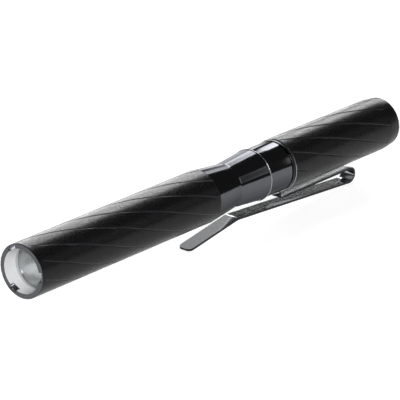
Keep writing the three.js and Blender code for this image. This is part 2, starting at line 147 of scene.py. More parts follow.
def make_piece(name, bm, *materials):
    """Sets a mesh drawn in millimetres, on the tube's axis with the rim at X = 0, into the frame."""
    bmesh.ops.translate(bm, verts=bm.verts, vec=(FRONT_X, 0, AXIS_Z))
    bmesh.ops.scale(bm, verts=bm.verts, vec=(MM, MM, MM))
    mesh = bpy.data.meshes.new(name)
    bm.to_mesh(mesh)
    bm.free()
    mesh.shade_smooth()
    mesh.set_sharp_from_angle(angle=SHARP_ANGLE)
    for material in materials:
        mesh.materials.append(material)
    piece = bpy.data.objects.new(name, mesh)
    bpy.context.scene.collection.objects.link(piece)
    return piece


def ease_edges(bm, width, segments=2, sharpness=60, within=None):
    """Rounds the edges that are sharper than an angle, all of them or those that pass a test."""
    edges = [
        e for e in bm.edges
        if len(e.link_faces) == 2 and e.calc_face_angle() > math.radians(sharpness)
        and (within is None or within(e))
    ]
    bmesh.ops.bevel(
        bm, geom=edges, offset=width, offset_type="OFFSET", segments=segments, profile=0.5,
        affect="EDGES", material=-1, clamp_overlap=True,
    )


def next_ring(bm, edges, back=0.0, radius=1.0, turn=0.0):
    """Extrudes a ring of edges back along the tube, scaled about its axis and turned."""
    made = bmesh.ops.extrude_edge_only(bm, edges=edges)["geom"]
    verts = [v for v in made if isinstance(v, bmesh.types.BMVert)]
    bmesh.ops.rotate(bm, verts=verts, cent=(0, 0, 0), matrix=Matrix.Rotation(turn, 3, "X"))
    bmesh.ops.scale(bm, verts=verts, vec=(1, radius, radius))
    bmesh.ops.translate(bm, verts=verts, vec=(-back, 0, 0))
    fresh = set(verts)
    return [e for e in made if isinstance(e, bmesh.types.BMEdge) and set(e.verts) <= fresh]


def first_ring(bm, station, radius):
    """A ring of edges round the tube's axis, with corners at the odd degrees."""
    turn = Matrix.Rotation(math.radians(1), 4, "X") @ Matrix.Rotation(math.radians(90), 4, "Y")
    verts = bmesh.ops.create_circle(bm, segments=TUBE_SIDES, radius=radius, matrix=turn)["verts"]
    bmesh.ops.translate(bm, verts=verts, vec=(-station, 0, 0))
    return list({e for v in verts for e in v.link_edges})


def around(vert):
    """A corner's angle round the tube, in degrees from +Y towards +Z."""
    return math.degrees(math.atan2(vert.co.z, vert.co.y))


def engraved_wall(bm, ring, length, line_angle):
    """Carries a ring back as a wall with engraved lines that twist round it and run out at both ends."""
    turn = LINE_TWIST * LINE_RUN
    ring = next_ring(bm, ring, LINE_RUN, turn=turn)
    pitch = 360 / LINE_COUNT
    lines = [
        v for v in {v for e in ring for v in e.verts}
        if (around(v) - math.degrees(turn) - line_angle + 0.5) % pitch < 1
    ]
    depth = (TUBE_R - LINE_DEPTH) / TUBE_R
    bmesh.ops.scale(bm, verts=lines, vec=(1, depth, depth))
    steps = round((length - 2 * LINE_RUN) / WALL_STEP)
    step = (length - 2 * LINE_RUN) / steps
    for _ in range(steps):
        ring = next_ring(bm, ring, step, turn=LINE_TWIST * step)
    ring = next_ring(bm, ring, LINE_RUN, turn=turn)
    low = [v for v in {v for e in ring for v in e.verts} if math.hypot(*v.co.yz) < TUBE_R - LINE_DEPTH / 2]
    bmesh.ops.scale(bm, verts=low, vec=(1, 1 / depth, 1 / depth))
    return ring


def in_slot(face, angles, half_angle):
    """Whether a face lies across one of the slots at given angles round the tube."""
    centre = face.calc_center_median()
    angle = math.degrees(math.atan2(centre.z, centre.y))
    return any(abs((angle - a + 180) % 360 - 180) < half_angle for a in angles)


def in_line(face):
    """Whether a face is a side of an engraved line."""
    return any(0.5 < (TUBE_R - math.hypot(*v.co.yz)) / LINE_DEPTH < 1.5 for v in face.verts)


bm = bmesh.new()
rim = first_ring(bm, RIM_SLOT_DEPTH, TUBE_R)
outer = engraved_wall(bm, rim, BARREL_LENGTH - RIM_SLOT_DEPTH, BARREL_LINE_ANGLE)
ledge = next_ring(bm, rim, radius=RIM_SLOT_R / TUBE_R)
teeth = {f for e in ledge for f in e.link_faces}
inner = next_ring(bm, ledge, radius=MOUTH_R / RIM_SLOT_R)
teeth |= {f for e in inner for f in e.link_faces if not in_slot(f, RIM_SLOT_ANGLES, RIM_SLOT_HALF_ANGLE)}
inner = next_ring(bm, inner, MOUTH_DEPTH - RIM_SLOT_DEPTH)
inner = next_ring(bm, inner, radius=BORE_R / MOUTH_R)
inner = next_ring(bm, inner, BARREL_LENGTH - MOUTH_DEPTH)
bmesh.ops.bridge_loops(bm, edges=outer + inner)
teeth = bmesh.ops.extrude_face_region(bm, geom=list(teeth))["geom"]
bmesh.ops.translate(
    bm, verts=[v for v in teeth if isinstance(v, bmesh.types.BMVert)], vec=(RIM_SLOT_DEPTH, 0, 0)
)
bmesh.ops.recalc_face_normals(bm, faces=bm.faces)
for face in bm.faces:
    centre = face.calc_center_median()
    radius = math.hypot(*centre.yz)
    if centre.x > -NEAR:
        face.material_index = 2
    elif MOUTH_R + NEAR < radius < RIM_SLOT_R + NEAR and centre.x > -RIM_SLOT_DEPTH - NEAR:
        face.material_index = 4
    elif radius < BORE_R + NEAR:
        face.material_index = 1
    elif in_line(face):
        face.material_index = 3
ease_edges(bm, RIM_EASE)

# Dyed anodising over fine blasting: near black, satin, its sheen broken by a grain of 0.1 mm.
# The grain is drawn at 0.35 mm, which is as fine as shows.
black_anodised = finish(
    "black_anodised_aluminium_blasted", (ANODISED_BLACK, ANODISED_GREY), grain=0.35, gloss=(0.16, 0.5),
    relief=0.06, IOR=1.25,
)

# Clear-anodised bore, etched: silvery white and matt, with faint rings from the tool 0.4 mm apart.
ALONG_TUBE = (1, 0, 0)
bare_aluminium = finish(
    "clear_anodised_aluminium_etched", (BARE_ALUMINIUM,), grain=0.4, gloss=(0.46, 0.54), stretch=ALONG_TUBE,
    detail=2.0, relief=0.08, Metallic=0.1,
)

# Aluminium polished before it was dyed: a dark mirror, with faint turning rings 0.3 mm apart.
polished_black = finish(
    "black_anodised_aluminium_polished", (POLISHED_BLACK,), grain=0.3, gloss=(0.09, 0.13), stretch=ALONG_TUBE,
    detail=2.0, relief=0.025, Metallic=1.0, **{"Specular Tint": linear(POLISHED_EDGE)},
)

# Lines engraved in the wall and anodised with it: smoother than the wall, so their sides catch the light.
# Their paler grey is a painted highlight along the grooves. They carry chatter marks 0.2 mm apart.
engraved_line = finish(
    "black_anodised_aluminium_engraved", (LINE_GREY_PAINTED_GLINT,), grain=0.2, gloss=(0.295, 0.355), detail=2.0, IOR=1.28
)

# Slots milled after the dyeing: bare grey metal that mirrors what is near, with cutter marks 0.2 mm apart.
milled_aluminium = finish(
    "aluminium_milled", (MILLED_ALUMINIUM,), grain=0.2, gloss=(0.21, 0.29), detail=2.0, Metallic=1.0
)

barrel = make_piece(
    "barrel", bm, black_anodised, bare_aluminium, polished_black, engraved_line, milled_aluminium
)
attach(barrel, "front")
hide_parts("front_barrel")


# Lens gasket: a flat ring cut from pale silicone sheet, pressed between the mouth's step and the lens.
# It keeps water out and lets the lens sit without a load on its edge.
GASKET = ((4.05, 5.65), (4.05, 6.05), (4.75, 6.05), (4.75, 5.65))
GASKET_EASE = 0.12
SEAT_SIDES = 96
MERGE_DISTANCE = 1e-4
SILICONE = "#c4c7c7"
SILICONE_SHADE = "#aeb2b2"


def turned(outline, sides, closed=True, ease=0.0, ease_segments=2):
    """Spins an outline of stations and radii round the tube's axis, its corners rounded first."""
    bm = bmesh.new()
    verts = [bm.verts.new((-station, radius, 0)) for station, radius in outline]
    pairs = list(zip(verts, verts[1:])) + ([(verts[-1], verts[0])] if closed else [])
    edges = [bm.edges.new(pair) for pair in pairs]
    if ease:
        corners = verts if closed else verts[1:-1]
        bmesh.ops.bevel(
            bm, geom=corners, offset=ease, offset_type="OFFSET", segments=ease_segments, profile=0.5,
            affect="VERTICES", material=-1, clamp_overlap=True,
        )
        verts, edges = bm.verts[:], bm.edges[:]
    bmesh.ops.spin(
        bm, geom=verts + edges, cent=(0, 0, 0), axis=(1, 0, 0), angle=2 * math.pi, steps=sides, use_merge=True
    )
    bmesh.ops.remove_doubles(bm, verts=bm.verts, dist=MERGE_DISTANCE)
    bmesh.ops.recalc_face_normals(bm, faces=bm.faces)
    return bm


# Silicone rubber: soft grey-white, matt, with a faint cloudiness of 0.5 mm.
pale_silicone = finish(
    "silicone_rubber_cut", (SILICONE, SILICONE_SHADE), grain=0.5, gloss=(0.53, 0.57), detail=3.0, IOR=1.41
)

gasket = make_piece("gasket", turned(GASKET, SEAT_SIDES, ease=GASKET_EASE), pale_silicone)
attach(gasket, "front")
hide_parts("lens_gasket")


# Lens: a plano-convex disc moulded in clear acrylic, with a flat flange that the gasket presses on.
# It sits on the reflector's rim and gathers the LED's light into a beam.
LENS_FRONT = 3.7
LENS_FLANGE = 4.8
LENS_BACK = 6.2
LENS_R = 6.05
LENS_DOME_R = 5.6
LENS_STEPS = 20
CLEAR = "#f4f7f7"
dome = [
    (LENS_FRONT + (LENS_FLANGE - LENS_FRONT) * (i / LENS_STEPS) ** 2, LENS_DOME_R * i / LENS_STEPS)
    for i in range(LENS_STEPS + 1)
]
outline = dome + [(LENS_FLANGE, LENS_R), (LENS_BACK, LENS_R), (LENS_BACK, 0)]

# Clear acrylic: glass-bright and a little milky, with the slightest unevenness from the mould, 3 mm across.
clear_acrylic = finish(
    "clear_acrylic_moulded", (CLEAR,), grain=3.0, gloss=(0.015, 0.035), detail=1.0, IOR=1.49,
    **{"Transmission Weight": 0.92},
)

front_lens = make_piece("front_lens", turned(outline, SEAT_SIDES, closed=False), clear_acrylic)
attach(front_lens, "front")
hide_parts("lens")


# Reflector: a parabolic bowl moulded in plastic and coated with bright aluminium in a vacuum.
# Its flange carries the lens, and the hole in its floor fits round the LED.
BOWL_FRONT = 6.25
BOWL_BACK = 13.05
BOWL_FLANGE = 1.0
BOWL_R = 5.7
BOWL_HOLE_R = 2.64
BOWL_WALL = 0.55
BOWL_STEPS = 18
PEEL = 0.4
PEEL_DEPTH = 0.03
METALLISED = "#e6e7e8"
bowl = []
for i in range(BOWL_STEPS + 1):
    radius = BOWL_HOLE_R + (BOWL_R - BOWL_HOLE_R) * i / BOWL_STEPS
    rise = (radius ** 2 - BOWL_HOLE_R ** 2) / (BOWL_R ** 2 - BOWL_HOLE_R ** 2)
    bowl.append((BOWL_BACK - rise * (BOWL_BACK - BOWL_FRONT), radius))
back = [(s, r + BOWL_WALL) for s, r in reversed(bowl) if s > BOWL_FRONT + BOWL_FLANGE]
outline = bowl + [(BOWL_FRONT, LENS_R), (BOWL_FRONT + BOWL_FLANGE, LENS_R)] + back

# Vacuum-metallised plastic: a bright mirror broken by a fine orange peel of 0.4 mm.
metallised = new_material("vacuum_metallised_plastic")
coordinates = node(metallised, "TexCoord", {}).outputs["Object"]
peel = node(
    metallised, "TexVoronoi", {"Vector": coordinates, "Scale": 1 / (PEEL * MM)}, feature="SMOOTH_F1"
).outputs["Distance"]
relief = node(
    metallised, "Bump", {"Height": peel, "Strength": 0.3, "Distance": PEEL_DEPTH * MM}
).outputs["Normal"]
surface = node(
    metallised, "BsdfPrincipled",
    {"Base Color": linear(METALLISED), "Metallic": 1.0, "Roughness": 0.2, "Normal": relief},
).outputs["BSDF"]
node(metallised, "OutputMaterial", {"Surface": surface})

lamp_bowl = make_piece("lamp_bowl", turned(outline, SEAT_SIDES), metallised)
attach(lamp_bowl, "front")
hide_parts("reflector")


# LED: a square ceramic package with a yellow phosphor under a clear silicone dome.
# It is soldered to the middle of its board and stands in the reflector's hole.
LED_SIDE = 3.45
LED_FRONT = 12.35
LED_BACK = 13.05
LED_DOME_R = 1.3
LED_RIM = 0.12
LED_EASE = 0.05
FACING = 0.9
DOME_STEPS = 10
CERAMIC = "#e9e7df"
PHOSPHOR = "#d8cf9a"
bm = bmesh.new()
bmesh.ops.create_cube(bm, size=1.0)
bmesh.ops.scale(bm, verts=bm.verts, vec=(LED_BACK - LED_FRONT, LED_SIDE, LED_SIDE))
bmesh.ops.translate(bm, verts=bm.verts, vec=(-(LED_FRONT + LED_BACK) / 2, 0, 0))
front = [f for f in bm.faces if f.normal.x > FACING]
bmesh.ops.inset_region(bm, faces=front, thickness=LED_RIM)
bmesh.ops.translate(bm, verts=[v for f in front for v in f.verts], vec=(-LED_RIM, 0, 0))
ease_edges(
    bm, LED_EASE,
    within=lambda e: all(v.co.x > -LED_FRONT - NEAR or v.co.x < -LED_BACK + NEAR for v in e.verts),
)
for face in front:
    face.material_index = 1
verts = [
    bm.verts.new((
        -LED_FRONT + LED_DOME_R * math.cos(math.pi / 2 * i / DOME_STEPS),
        LED_DOME_R * math.sin(math.pi / 2 * i / DOME_STEPS), 0,
    ))
    for i in range(DOME_STEPS + 1)
]
verts += [bm.verts.new((-LED_FRONT - 2 * LED_RIM, radius, 0)) for radius in (LED_DOME_R, 0)]
edges = [bm.edges.new(pair) for pair in zip(verts, verts[1:])]
bmesh.ops.spin(
    bm, geom=verts + edges, cent=(0, 0, 0), axis=(1, 0, 0), angle=2 * math.pi, steps=SEAT_SIDES // 2,
    use_merge=True,
)
bmesh.ops.remove_doubles(bm, verts=bm.verts, dist=MERGE_DISTANCE)
bmesh.ops.recalc_face_normals(bm, faces=bm.faces)
for face in bm.faces:
    centre = face.calc_center_median()
    if len(face.verts) <= 4 and math.hypot(centre.y, centre.z) < LED_DOME_R and face.material_index == 0:
        face.material_index = 2

# Ceramic of the package: off-white and matt, with a grain of 0.2 mm.
ceramic = finish("alumina_ceramic_fired", (CERAMIC,), grain=0.2, gloss=(0.51, 0.59), detail=2.0)

# Phosphor: a yellow powder in silicone, speckled at 0.15 mm.
phosphor = finish("phosphor_in_silicone", (PHOSPHOR, CERAMIC), grain=0.15, gloss=(0.38, 0.42), detail=2.0)

led = make_piece("led", bm, ceramic, phosphor, clear_acrylic)
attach(led, "front")
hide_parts("led_emitter")


# LED board: a disc of aluminium sheet with a thin insulated track side, lacquered white but for its pads.
# The LED and two wires are soldered to it, and it lies on the brass holder, which takes its heat.
BOARD_FRONT = 13.1
BOARD_BACK = 14.5
BOARD_R = 6.05
BOARD_PAD_R = 2.3
BOARD_LACQUER = 0.05
BOARD_EASE = 0.12
SOLDER_PLACE = 4.7
SOLDER_R = 0.75
SOLDER_HEIGHT = 0.45
SOLDER_STEPS = 5
SOLDER_SIDES = 20
LACQUER_WHITE = "#e9e9e4"
LACQUER_SHADE = "#dcdcd6"
TINNED = "#c9cac8"
TINNED_SHADE = "#b3b4b2"
bm = turned(
    (
        (BOARD_FRONT + BOARD_LACQUER, 0), (BOARD_FRONT + BOARD_LACQUER, BOARD_PAD_R),
        (BOARD_FRONT, BOARD_PAD_R + BOARD_LACQUER), (BOARD_FRONT, BOARD_R), (BOARD_BACK, BOARD_R),
        (BOARD_BACK, 0),
    ),
    SEAT_SIDES, closed=False, ease=BOARD_EASE,
)
for face in bm.faces:
    centre = face.calc_center_median()
    if centre.x > -BOARD_FRONT - BOARD_LACQUER * 1.5:
        face.material_index = 2 if math.hypot(*centre.yz) < BOARD_PAD_R + BOARD_LACQUER / 2 else 1
for side in (-1, 1):
    disc = bmesh.ops.create_circle(
        bm, cap_ends=True, segments=SOLDER_SIDES, radius=SOLDER_R,
        matrix=Matrix.Rotation(math.pi / 2, 4, "Y"),
    )["verts"]
    bmesh.ops.translate(bm, verts=disc, vec=(-BOARD_FRONT - BOARD_LACQUER, side * SOLDER_PLACE, 0))
    top = disc[0].link_faces[:]
    for i in range(1, SOLDER_STEPS + 1):
        angles = [math.pi / 2 * j / (SOLDER_STEPS + 1) for j in (i - 1, i)]
        made = bmesh.ops.extrude_face_region(bm, geom=top)["geom"]
        verts = [v for v in made if isinstance(v, bmesh.types.BMVert)]
        top = [f for f in made if isinstance(f, bmesh.types.BMFace)]
        slim = math.cos(angles[1]) / math.cos(angles[0])
        bmesh.ops.scale(
            bm, verts=verts, vec=(1, slim, slim), space=Matrix.Translation((0, -side * SOLDER_PLACE, 0))
        )
        lift = SOLDER_HEIGHT * (math.sin(angles[1]) - math.sin(angles[0]))
        bmesh.ops.translate(bm, verts=verts, vec=(lift, 0, 0))
for face in bm.faces:
    if face.calc_center_median().x > -BOARD_FRONT + NEAR or len(face.verts) == SOLDER_SIDES:
        face.material_index = 2
bmesh.ops.recalc_face_normals(bm, faces=bm.faces)

# White lacquer: even, half matt, with the slight cloudiness of a printed coat, 0.5 mm.
white_lacquer = finish("white_solder_lacquer", (LACQUER_WHITE, LACQUER_SHADE), grain=0.5, gloss=(0.35, 0.5))

# Tinned copper and solder: silvery, glossy in places where it flowed, 0.6 mm across.
tinned = finish(
    "tinned_copper", (TINNED, TINNED_SHADE), grain=0.6, gloss=(0.15, 0.4), relief=0.2, Metallic=1.0
)

lamp_board = make_piece("lamp_board", bm, bare_aluminium, white_lacquer, tinned)
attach(lamp_board, "front")
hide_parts("led_board")


# Lamp holder: a cup turned from brass bar, pushed into the barrel behind the LED board.
# It carries heat to the tube; the driver board is pressed into the step at its open end.
CUP_FRONT = 14.55
CUP_END = 23.55
CUP_FLOOR = 16.55
CUP_STEP = 22.0
CUP_R = 6.05
CUP_HOLLOW_R = 4.75
CUP_STEP_R = 5.4
CUP_GROOVES = (17.6, 20.2)
CUP_GROOVE_WIDTH = 0.8
CUP_GROOVE_DEPTH = 0.3
CUP_EASE = 0.12
BRASS = "#c2a35a"
BRASS_SHADE = "#a98b45"
outline = [(CUP_FRONT, 0), (CUP_FRONT, CUP_R)]
for start in CUP_GROOVES:
    outline += [
        (start, CUP_R), (start, CUP_R - CUP_GROOVE_DEPTH),
        (start + CUP_GROOVE_WIDTH, CUP_R - CUP_GROOVE_DEPTH), (start + CUP_GROOVE_WIDTH, CUP_R),
    ]
outline += [
    (CUP_END, CUP_R), (CUP_END, CUP_STEP_R), (CUP_STEP, CUP_STEP_R), (CUP_STEP, CUP_HOLLOW_R),
    (CUP_FLOOR, CUP_HOLLOW_R), (CUP_FLOOR, 0),
]

# Turned brass: warm yellow metal, its gloss broken by tool rings 0.25 mm apart.
brass = finish(
    "brass_turned", (BRASS, BRASS_SHADE), grain=0.25, gloss=(0.18, 0.35), stretch=ALONG_TUBE, relief=0.3,
    Metallic=1.0,
)

lamp_cup = make_piece("lamp_cup", turned(outline, SEAT_SIDES, closed=False, ease=CUP_EASE), brass)
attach(lamp_cup, "front")
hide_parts("led_pill")


# Driver board: a disc of glass laminate with parts on the side that faces the lamp.
# Its other side carries the pad for the contact spring and a tinned edge that meets the brass cup.
DRIVER_FRONT = 22.05
DRIVER_BACK = 23.05
DRIVER_R = 5.25
DRIVER_PAD_R = 2.6
DRIVER_EDGE_R = 4.5
CHIP_SIZE = (1.1, 2.6, 2.2)
CHIP_PLACE = (-0.4, 0)
SMALL_SIZE = (0.6, 1.1, 0.6)
SMALL_PLACES = ((2.6, 1.2), (2.6, -1.2), (-2.9, 0.9))
CHIP_EASE = 0.08
MOULDED_BLACK = "#202022"
MOULDED_SHADE = "#2a2a2c"
bm = turned(
    (
        (DRIVER_FRONT, 0), (DRIVER_FRONT, DRIVER_R), (DRIVER_BACK, DRIVER_R), (DRIVER_BACK, DRIVER_EDGE_R),
        (DRIVER_BACK - BOARD_LACQUER, DRIVER_EDGE_R - BOARD_LACQUER),
        (DRIVER_BACK - BOARD_LACQUER, DRIVER_PAD_R + BOARD_LACQUER), (DRIVER_BACK, DRIVER_PAD_R),
        (DRIVER_BACK, 0),
    ),
    SEAT_SIDES, closed=False, ease=BOARD_LACQUER / 2,
)
for face in bm.faces:
    centre = face.calc_center_median()
    if centre.x < -DRIVER_BACK + BOARD_LACQUER / 3 or math.hypot(*centre.yz) > DRIVER_R - NEAR:
        face.material_index = 1
for size, place in [(CHIP_SIZE, CHIP_PLACE)] + [(SMALL_SIZE, place) for place in SMALL_PLACES]:
    part = bmesh.ops.create_cube(bm, size=1.0)["verts"]
    bmesh.ops.scale(bm, verts=part, vec=size)
    bmesh.ops.translate(bm, verts=part, vec=(-DRIVER_FRONT + size[0] / 2 - BOARD_LACQUER, *place))
    faces = list({f for v in part for f in v.link_faces})
    for face in faces:
        face.material_index = 1 if size == SMALL_SIZE and abs(face.normal.y) > FACING else 2
    bmesh.ops.bevel(
        bm, geom=list({e for f in faces for e in f.edges}), offset=CHIP_EASE, offset_type="OFFSET",
        segments=2, profile=0.5, affect="EDGES", material=-1, clamp_overlap=True,
    )

# Moulded black plastic: dark grey and matt, with a fine eroded texture of 0.3 mm.
black_plastic = finish(
    "black_nylon_moulded", (MOULDED_BLACK, MOULDED_SHADE), grain=0.3, gloss=(0.4, 0.6), relief=0.4
)

driver = make_piece("driver", bm, white_lacquer, tinned, black_plastic)
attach(driver, "front")
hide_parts("driver_board")


# Front contact spring: a cone coiled from nickel-plated wire, soldered by its wide end to the driver board.
# Its narrow end presses on the front cell's button.
FRONT_SPRING = (23.1, 26.7)
FRONT_SPRING_R = (2.0, 0.95)
FRONT_SPRING_TURNS = 3
WIRE_R = 0.28
WIRE_SIDES = 12
COIL_STEPS = 32
COIL_END_FLATNESS = 0.75
WIRE_BRIGHT = "#cfcfca"
WIRE_SHADE = "#b9b9b5"


def coil(stations, radii, turns):
    """Draws a wire's round section along a coil whose end turns lie flat."""
    bm = bmesh.new()
    start, length = stations[0] + WIRE_R, stations[1] - stations[0] - 2 * WIRE_R
    section = bmesh.ops.create_circle(bm, cap_ends=True, segments=WIRE_SIDES, radius=WIRE_R)["verts"]
    bmesh.ops.translate(bm, verts=section, vec=(-start, radii[0], 0))
    end = section[0].link_faces[:]
    steps = turns * COIL_STEPS
    risen = 0.0
    for i in range(1, steps + 1):
        angle = 2 * math.pi * i / COIL_STEPS
        rise = length * (i / steps - COIL_END_FLATNESS * math.sin(2 * math.pi * i / steps) / (2 * math.pi))
        spread = (radii[1] - radii[0]) / steps
        made = bmesh.ops.extrude_face_region(bm, geom=end)["geom"]
        verts = [v for v in made if isinstance(v, bmesh.types.BMVert)]
        end = [f for f in made if isinstance(f, bmesh.types.BMFace)]
        bmesh.ops.rotate(
            bm, verts=verts, cent=(0, 0, 0), matrix=Matrix.Rotation(2 * math.pi / COIL_STEPS, 3, "X")
        )
        bmesh.ops.translate(
            bm, verts=verts, vec=(risen - rise, spread * math.cos(angle), spread * math.sin(angle))
        )
        risen = rise
    bmesh.ops.recalc_face_normals(bm, faces=bm.faces)
    return bm


# Drawn wire, nickel plated: bright and slightly yellow, with faint marks from the die 0.3 mm across.
plated_wire = finish(
    "nickel_plated_wire", (WIRE_BRIGHT, WIRE_SHADE), grain=0.3, gloss=(0.15, 0.3), Metallic=1.0
)

front_spring = make_piece("front_spring", coil(FRONT_SPRING, FRONT_SPRING_R, FRONT_SPRING_TURNS), plated_wire)
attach(front_spring, "front")
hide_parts("front_contact_spring")


# Battery liner: a thin black plastic sleeve, extruded and cut to length, loose in the barrel's bore.
# It takes up the room round the front cell, so that the cell lies in line with the coupler's bore.
LINER_START = 23.6
LINER_END = 57.35
LINER_EASE = 0.15
CELL_BORE_R = 5.45
outline = ((LINER_START, CELL_BORE_R), (LINER_START, CUP_R), (LINER_END, CUP_R), (LINER_END, CELL_BORE_R))
liner = make_piece("liner", turned(outline, SEAT_SIDES, ease=LINER_EASE), black_plastic)
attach(liner, "front")
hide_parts("battery_liner")


# Front cell: an AAA cell, a drawn and plated steel can in a plain shrunk film jacket.
# A pressed button closes its front end and a flat disc its rear end; it lies loose in the liner.
FRONT_CELL_START = 26.75
CELL_LENGTH = 44.5
CELL_R = 5.25
CELL_BUTTON_R = 1.9
CELL_BUTTON_HEIGHT = 1.0
CELL_EASE = 0.2
CELL_SHOULDER = 0.4
CELL_REAR_STEP = 0.05
JACKET_EDGE_R = 4.2
JACKET_STEP = 0.15
JACKET = "#5d6266"
JACKET_SHADE = "#555a5e"
STEEL = "#c4c5c6"
STEEL_SHADE = "#b2b3b5"


def cell(name, start, *finishes):
    """A cell with its button at a station, the ends bare and the sides and shoulders jacketed."""
    end = start + CELL_LENGTH
    shoulder = start + CELL_BUTTON_HEIGHT
    outline = (
        (start, 0), (start, CELL_BUTTON_R), (shoulder + JACKET_STEP, CELL_BUTTON_R),
        (shoulder + JACKET_STEP, JACKET_EDGE_R), (shoulder, JACKET_EDGE_R + JACKET_STEP),
        (shoulder, CELL_R - CELL_SHOULDER), (shoulder + CELL_SHOULDER, CELL_R), (end - CELL_SHOULDER, CELL_R),
        (end - CELL_REAR_STEP, CELL_R - CELL_SHOULDER), (end - CELL_REAR_STEP, JACKET_EDGE_R + JACKET_STEP),
        (end - JACKET_STEP, JACKET_EDGE_R), (end, JACKET_EDGE_R - CELL_SHOULDER), (end, 0),
    )
    bm = turned(outline, SEAT_SIDES, closed=False, ease=CELL_EASE, ease_segments=3)
    for face in bm.faces:
        if math.hypot(*face.calc_center_median().yz) > JACKET_EDGE_R:
            face.material_index = 1
    return make_piece(name, bm, *finishes)


# Plated steel: bright, with the draw marks of the press, 0.5 mm across.
plated_steel = finish(
    "nickel_plated_steel_drawn", (STEEL, STEEL_SHADE), grain=0.5, gloss=(0.2, 0.35), Metallic=1.0
)

# Shrunk film: a slate grey print under a clear skin, gently uneven over 3 mm.
film_jacket = finish(
    "printed_film_shrunk", (JACKET, JACKET_SHADE), grain=3.0, gloss=(0.25, 0.4), relief=0.3, Metallic=0.4
)

first_cell = cell("first_cell", FRONT_CELL_START, plated_steel, film_jacket)
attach(first_cell, "front")
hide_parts("front_cell")


# Coupler: turned from aluminium bar in one piece, polished and dyed black, with a thread at each end.
# Its neck tapers from the barrel, flares to a lip, and the straight collar behind it stops the clip's ring.
NECK_START = 65.45
NECK_START_R = 6.95
NECK_R = 5.9
NECK_END = 74.8
WAIST_HOLD = 0.5
LIP_START = 85.2
LIP_R = 6.85
COLLAR_START = 85.7
COLLAR_R = 6.65
COLLAR_END = 93.8
SPIGOT_R = 6.05
FRONT_SPIGOT_START = 57.4
REAR_SPIGOT_END = 101.8
COUPLER_EASE = 0.12
BEAD_R = 0.16
BEAD_STEPS = 8
THREAD_PITCH = 1.0
THREAD_ROOT_R = 5.8
THREAD_PROFILE = ((0.0, SPIGOT_R), (0.3, THREAD_ROOT_R), (0.5, THREAD_ROOT_R), (0.8, SPIGOT_R))
FRONT_THREADS = (57.9, 6)
REAR_THREADS = (95.4, 6)
bead = tuple(
    (
        LIP_START + BEAD_R - BEAD_R * math.cos(math.pi * i / BEAD_STEPS),
        LIP_R - BEAD_R / 2 + BEAD_R * math.sin(math.pi * i / BEAD_STEPS),
    )
    for i in range(BEAD_STEPS + 1)
)
# Two rings close beside the narrowest one keep both cones straight up to it.
neck_slope = (NECK_START_R - NECK_R) / (NECK_END - NECK_START)
flare_slope = (bead[0][1] - NECK_R) / (LIP_START - NECK_END)
waist = (
    (NECK_END - WAIST_HOLD, NECK_R + WAIST_HOLD * neck_slope), (NECK_END, NECK_R),
    (NECK_END + WAIST_HOLD, NECK_R + WAIST_HOLD * flare_slope),
)


def thread(start, count):
    """The outline of a thread, drawn as closed rings at its pitch: its slope of 1.5 degrees does not show."""
    return [
        (start + (i + part) * THREAD_PITCH, radius)
        for i in range(count)
        for part, radius in THREAD_PROFILE
    ]


outline = (
    (FRONT_SPIGOT_START, CELL_BORE_R), (FRONT_SPIGOT_START, SPIGOT_R), *thread(*FRONT_THREADS),
    (NECK_START, SPIGOT_R), (NECK_START, NECK_START_R), *waist, *bead, (COLLAR_START, COLLAR_R),
    (COLLAR_END, COLLAR_R), (COLLAR_END, SPIGOT_R), *thread(*REAR_THREADS),
    (REAR_SPIGOT_END, SPIGOT_R), (REAR_SPIGOT_END, CELL_BORE_R),
)
bm = turned(outline, TUBE_SIDES, ease=COUPLER_EASE)
for face in bm.faces:
    centre = face.calc_center_median()
    if math.hypot(*centre.yz) > LIP_R and centre.x < -LIP_START:
        face.material_index = 1
coupler = make_piece("coupler", bm, polished_black, milled_aluminium)
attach(coupler, "front")
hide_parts("waist_coupler")


# Pocket clip: one piece of spring steel sheet, stamped as a ring with a strip, bent and tumbled.
# The ring is clamped between the coupler's collar and the tail, and the strip's arm flexes at its bend.
CLIP_SHEET = 0.6
CLIP_WIDTH = 4.2
CLIP_RING_STATION = 94.45
CLIP_RING_INNER_R = 6.2
CLIP_RING_R = 6.85
CLIP_EASE = 0.1
CLIP_ROOT_HALF_ANGLE = 18
LEG_Z = -8.5
ROOT_BEND_R = 1.2
ROOT_BEND_STEPS = 6
BEND_STATION = 123.3
BEND_R = 1.9
BEND_STEPS = 16
ARM_STATION = 123.0
ARM_LENGTH = 45.35
ARM_RISE = math.radians(3.9)
FOLD_HALF_LENGTH = 0.1
TIP_LENGTH = 18.9
TIP_CORNER = 1.2
TIP_CORNER_STEPS = 6
SPRING_STEEL = "#a6a7a9"
# Painted shade: the strip's edges are coloured near black, as if in shadow.
SHEARED_STEEL_PAINTED_SHADE = "#2b2c2d"
SHEARED_TONE_PAINTED_SHADE = "#252627"
clip_floor = LEG_Z - 2 * BEND_R
fold = (ARM_STATION - ARM_LENGTH * math.cos(ARM_RISE), clip_floor + ARM_LENGTH * math.sin(ARM_RISE))
tip_fall = math.asin((fold[1] - clip_floor) / TIP_LENGTH)


def draw_strip(bm, edges, station, z, width=1.0):
    """Draws the strip's end edge on to a place along the tube and a height, and narrows it."""
    made = bmesh.ops.extrude_edge_only(bm, edges=edges)["geom"]
    verts = [v for v in made if isinstance(v, bmesh.types.BMVert)]
    bmesh.ops.scale(bm, verts=verts, vec=(0, width, 0))
    bmesh.ops.translate(bm, verts=verts, vec=(-station, 0, z))
    return [e for e in made if isinstance(e, bmesh.types.BMEdge) and set(e.verts) <= set(verts)]


